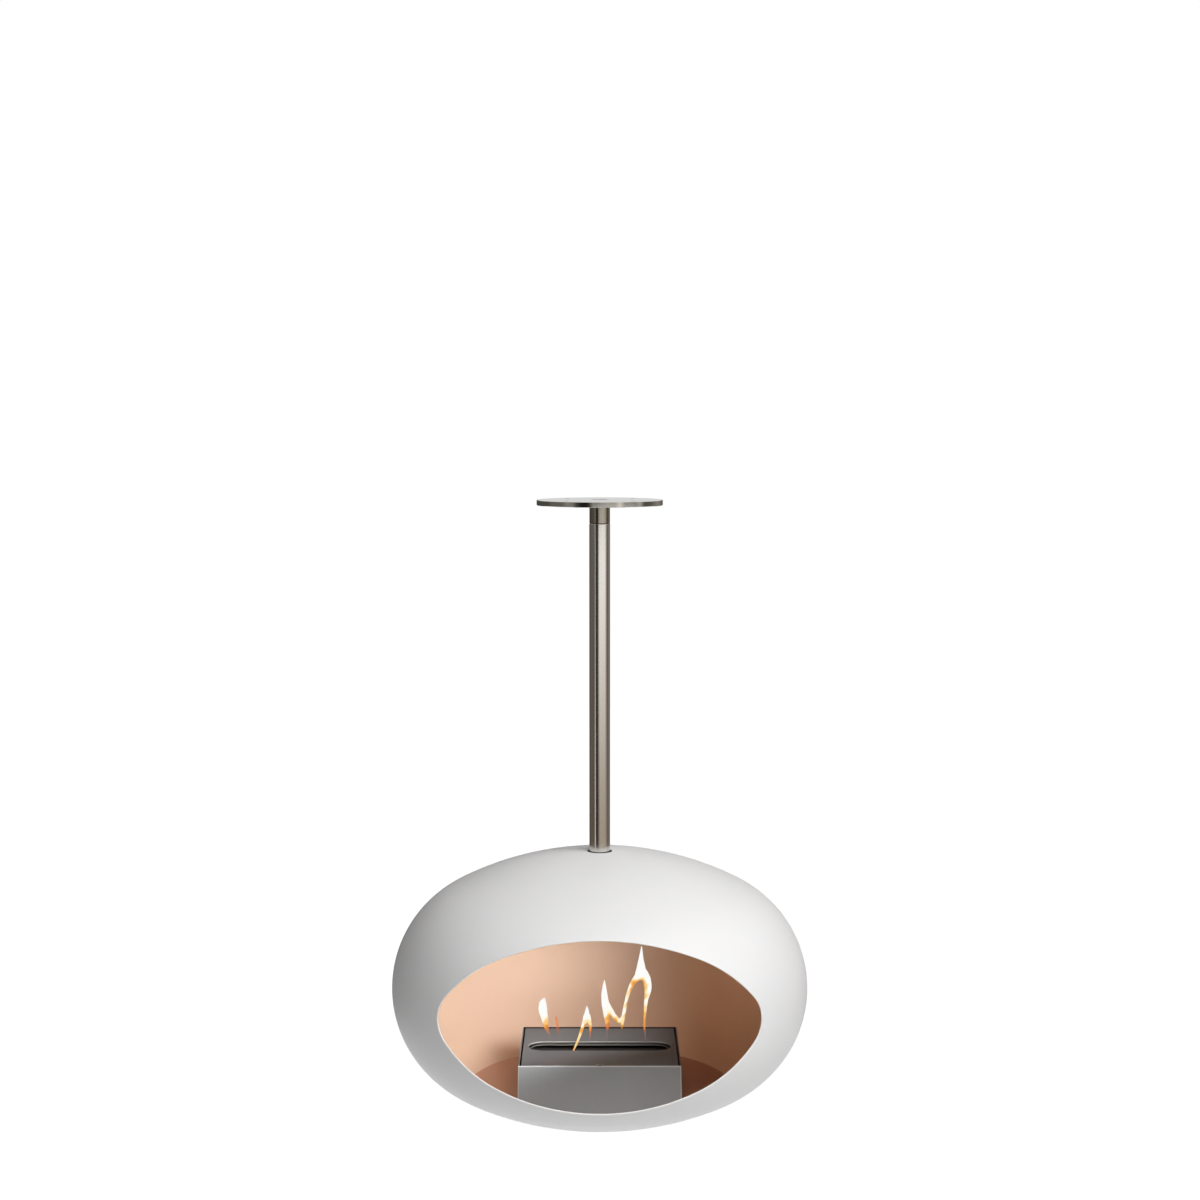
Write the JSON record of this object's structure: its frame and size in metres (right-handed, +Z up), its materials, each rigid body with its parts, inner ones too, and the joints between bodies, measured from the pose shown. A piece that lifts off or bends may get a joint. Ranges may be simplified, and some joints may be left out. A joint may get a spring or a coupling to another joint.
{
  "type": "hanging fireplace",
  "caption": "Oval spun-steel dome with a wide front opening and an ethanol burner inside, hung from a round ceiling plate on a turning pole.",
  "frame": {"origin": "centre of the ceiling plate's top face, which lies against the ceiling", "axes": "+Z up into the ceiling, the dome's opening faces -Y, +X to the right of someone who looks into the opening"},
  "size_m": [0.584, 0.5381, 0.8743],
  "materials": {
    "stainless": "brushed along its length",
    "zinc_steel": "bright zinc on turned and pressed steel",
    "tank_steel": "satin",
    "bronze": "satin",
    "black_rubber": "matt",
    "white_coat": "fine matt powder coat outside, satin copper coat inside",
    "copper_coat": "satin copper coat",
    "burner_grey": "dark grey, finely grained",
    "ceramic_wool": "matt fibre"
  },
  "bodies": {
    "ceiling_mount": {"ceiling_plate": "stainless", "swivel_collar": "stainless", "swivel_stud": "zinc_steel", "slip_washer": "black_rubber", "thrust_washer": "bronze", "lock_nut": "zinc_steel"},
    "dome": {"pole_tube": "stainless", "pole_head": "zinc_steel", "pole_plug": "zinc_steel", "pole_grommet": "black_rubber", "hanger_disc": "zinc_steel", "hanger_washer": "zinc_steel", "hanger_bolt": "zinc_steel", "upper_shell": "white_coat", "lower_shell": "white_coat", "floor_plate": "copper_coat", "floor_posts": "zinc_steel", "floor_screws": "zinc_steel", "burner_case": "burner_grey", "front_panel": "burner_grey", "panel_nuts": "zinc_steel", "case_screws": "zinc_steel", "case_nuts": "zinc_steel"},
    "burner_insert": {"fuel_tank": "tank_steel", "tank_feet": "tank_steel", "wool_block": "ceramic_wool", "tank_lid": "burner_grey", "guide_rails": "tank_steel", "top_plate": "burner_grey"},
    "shutter": {"slot_shutter": "tank_steel"}
  },
  "joints": [
    {"name": "pole_swivel", "type": "hinge", "parent": "ceiling_mount", "child": "dome", "pos_m": [0, 0, -0.04], "axis": [0, 0, 1], "continuous": true},
    {"name": "insert_lift", "type": "slide", "parent": "dome", "child": "burner_insert", "axis": [0, 0, 1], "range_m": [0, 0.07]},
    {"name": "shutter_slide", "type": "slide", "parent": "burner_insert", "child": "shutter", "axis": [0, -1, 0], "range_m": [0, 0.049]}
  ]
}
